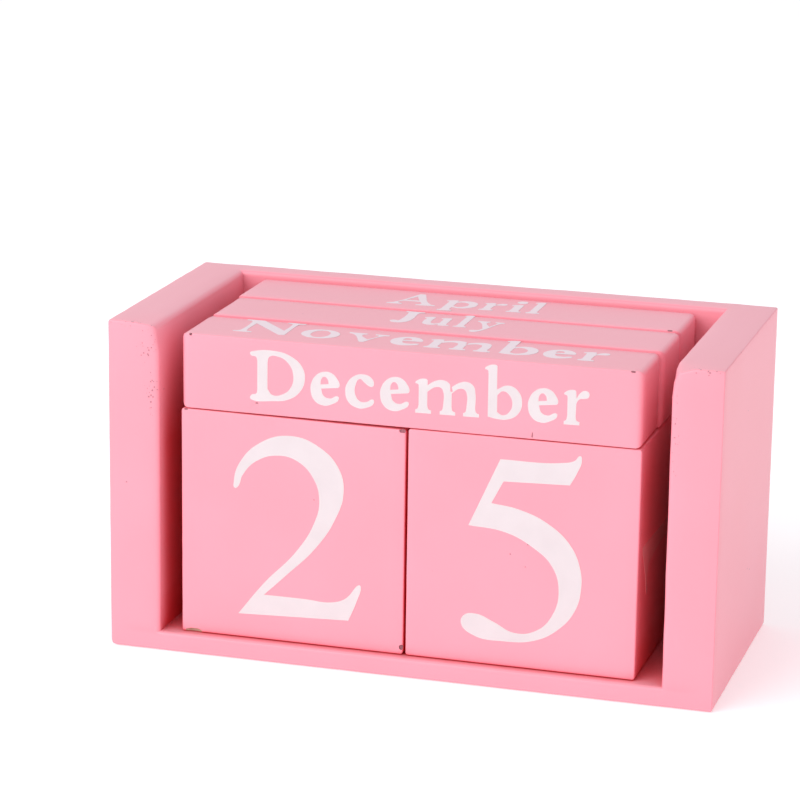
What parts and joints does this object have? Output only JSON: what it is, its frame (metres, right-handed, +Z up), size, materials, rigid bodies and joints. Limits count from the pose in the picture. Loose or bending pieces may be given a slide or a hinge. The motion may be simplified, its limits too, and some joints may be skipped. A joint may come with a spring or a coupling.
{
  "type": "perpetual block calendar",
  "caption": "Open painted wooden desk tray holding day cubes side by side, with square month bars lying across their tops.",
  "frame": {"origin": "centre of the tray's footprint, on the surface that the calendar stands on", "axes": "+X to the right along the tray's length, +Y from the open front to the back board, +Z up"},
  "size_m": [0.133, 0.0604, 0.0729],
  "materials": {
    "painted_wood": "satin pink paint on solid wood",
    "screen_print": "matt off-white printed ink, a thin film on the blocks"
  },
  "bodies": {
    "tray": {"base_board": "painted_wood", "back_board": "painted_wood", "left_side": "painted_wood", "right_side": "painted_wood"},
    "left_day_cube": {"left_cube": "painted_wood"},
    "right_day_cube": {"right_cube": "painted_wood"},
    "front_bar": {"front_month_bar": "painted_wood"},
    "middle_bar": {"middle_month_bar": "painted_wood"},
    "rear_bar": {"rear_month_bar": "painted_wood"}
  },
  "joints": [
    {"name": "left_cube_slide", "type": "slide", "parent": "tray", "child": "left_day_cube", "axis": [0, -1, 0], "range_m": [0, 0.06]},
    {"name": "right_cube_slide", "type": "slide", "parent": "tray", "child": "right_day_cube", "axis": [0, -1, 0], "range_m": [0, 0.06]},
    {"name": "front_bar_lift", "type": "slide", "parent": "tray", "child": "front_bar", "axis": [0, 0, 1], "range_m": [0, 0.03]},
    {"name": "middle_bar_lift", "type": "slide", "parent": "tray", "child": "middle_bar", "axis": [0, 0, 1], "range_m": [0, 0.03]},
    {"name": "rear_bar_lift", "type": "slide", "parent": "tray", "child": "rear_bar", "axis": [0, 0, 1], "range_m": [0, 0.03]}
  ]
}
